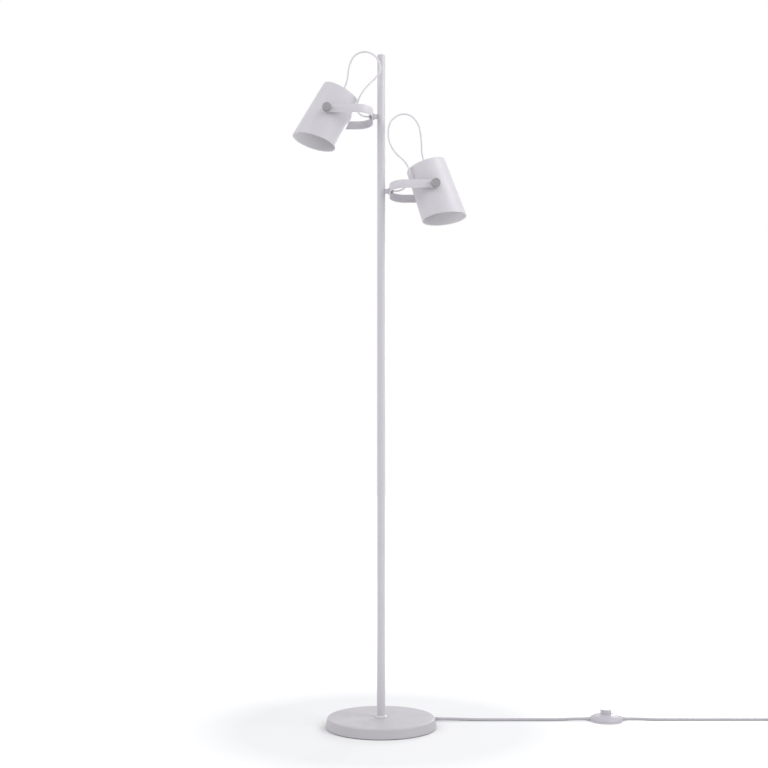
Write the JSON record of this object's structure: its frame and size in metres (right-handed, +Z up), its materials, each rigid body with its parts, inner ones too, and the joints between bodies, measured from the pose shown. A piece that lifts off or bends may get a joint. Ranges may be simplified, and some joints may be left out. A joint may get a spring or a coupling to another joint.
{
  "type": "floor lamp",
  "caption": "Slim white floor lamp: weighted round base, thin pole, two tilting and turning spot shades in U-shaped yokes, loose lead loops, and a mains lead with a round foot switch.",
  "frame": {"origin": "on the floor, under the pole's axis", "axes": "+Z up along the pole, +X towards the foot switch and the lower head, -Y towards the viewer"},
  "size_m": [1.1646, 0.24, 1.5041],
  "materials": {
    "white_paint": "satin white powder coat, very slightly grey",
    "cast_iron": "raw casting, hidden",
    "foam_pad": "dark foam",
    "zinc_steel": "zinc plated",
    "dark_nut": "dull plated steel",
    "grey_knob": "matte mid-grey plastic",
    "white_plastic": "satin moulded plastic",
    "white_gloss": "smooth moulded plastic",
    "white_rubber": "soft moulded plastic",
    "white_lead": "smooth soft lead jacket",
    "tie_plastic": "dark plastic band",
    "contact_brass": "stamped brass, hidden",
    "nickel_pins": "nickel plated",
    "bulb_cap_metal": "plated brass screw cap",
    "opal_glass": "opal white"
  },
  "bodies": {
    "stand": {"base_cover": "white_paint", "base_nut": "zinc_steel", "base_pad": "foam_pad", "base_washer": "zinc_steel", "base_weight": "cast_iron", "coil_tie": "tie_plastic", "head_leads": "white_lead", "mains_coil": "white_lead", "mains_inner_lead": "white_lead", "mains_lead_far": "white_lead", "mains_lead_near": "white_lead", "mains_tail": "white_lead", "plug_body": "white_plastic", "plug_pins": "nickel_pins", "pole": "white_paint", "pole_cap": "white_plastic", "pole_collar": "white_paint", "pole_foot_bush": "zinc_steel", "pole_nipple": "zinc_steel", "strain_relief": "white_rubber", "switch_base": "white_plastic", "switch_contacts": "contact_brass", "switch_cover": "white_plastic", "switch_screws": "zinc_steel", "switch_spring": "zinc_steel", "terminal_block": "white_plastic", "upper_stud": "dark_nut", "upper_stud_washers": "zinc_steel", "upper_stud_nut": "dark_nut", "upper_stud_bush": "white_plastic", "lower_stud": "dark_nut", "lower_stud_washers": "zinc_steel", "lower_stud_nut": "dark_nut", "lower_stud_bush": "white_plastic"},
    "upper_arm": {"upper_yoke": "white_paint", "upper_loop_lead": "white_lead"},
    "upper_lamp": {"upper_shade": "white_paint", "upper_pivot_spacers": "white_plastic", "upper_pivot_nuts": "zinc_steel", "upper_lead_gland": "white_plastic", "upper_lampholder": "white_plastic", "upper_holder_ring": "white_plastic", "upper_bulb_cap": "bulb_cap_metal", "upper_bulb_glass": "opal_glass"},
    "upper_front_grip": {"upper_front_knob": "grey_knob"},
    "upper_rear_grip": {"upper_rear_knob": "grey_knob"},
    "lower_arm": {"lower_yoke": "white_paint", "lower_loop_lead": "white_lead"},
    "lower_lamp": {"lower_shade": "white_paint", "lower_pivot_spacers": "white_plastic", "lower_pivot_nuts": "zinc_steel", "lower_lead_gland": "white_plastic", "lower_lampholder": "white_plastic", "lower_holder_ring": "white_plastic", "lower_bulb_cap": "bulb_cap_metal", "lower_bulb_glass": "opal_glass"},
    "lower_front_grip": {"lower_front_knob": "grey_knob"},
    "lower_rear_grip": {"lower_rear_knob": "grey_knob"},
    "button": {"switch_button": "white_gloss"}
  },
  "joints": [
    {"name": "upper_swivel", "type": "hinge", "parent": "stand", "child": "upper_arm", "pos_m": [0, 0, 1.356], "axis": [1, 0, 0], "range_deg": [-5, 90]},
    {"name": "upper_tilt", "type": "hinge", "parent": "upper_arm", "child": "upper_lamp", "pos_m": [-0.121, 0, 1.356], "axis": [0, 0.999, -0.0436], "range_deg": [-65, 62], "deforming": ["upper_loop_lead"]},
    {"name": "upper_front_knob_turn", "type": "hinge", "parent": "upper_lamp", "child": "upper_front_grip", "pos_m": [-0.121, 0, 1.356], "axis": [0, -0.999, 0.0436], "range_deg": [0, 180]},
    {"name": "upper_rear_knob_turn", "type": "hinge", "parent": "upper_lamp", "child": "upper_rear_grip", "pos_m": [-0.121, 0, 1.356], "axis": [0, 0.999, -0.0436], "range_deg": [0, 180]},
    {"name": "lower_swivel", "type": "hinge", "parent": "stand", "child": "lower_arm", "pos_m": [0, 0, 1.183], "axis": [1, 0, 0], "range_deg": [-90, 90]},
    {"name": "lower_tilt", "type": "hinge", "parent": "lower_arm", "child": "lower_lamp", "pos_m": [0.121, 0, 1.183], "axis": [0, -0.9981, 0.061], "range_deg": [-56, 71.5], "deforming": ["lower_loop_lead"]},
    {"name": "lower_front_knob_turn", "type": "hinge", "parent": "lower_lamp", "child": "lower_front_grip", "pos_m": [0.121, 0, 1.183], "axis": [0, -0.9981, 0.061], "range_deg": [0, 180]},
    {"name": "lower_rear_knob_turn", "type": "hinge", "parent": "lower_lamp", "child": "lower_rear_grip", "pos_m": [0.121, 0, 1.183], "axis": [0, 0.9981, -0.061], "range_deg": [0, 180]},
    {"name": "switch_press", "type": "slide", "parent": "stand", "child": "button", "axis": [0, 0, -1], "range_m": [0, 0.003], "stiffness_N_per_m": 1200, "springref_m": -0.0015, "deforming": ["switch_spring"]}
  ]
}
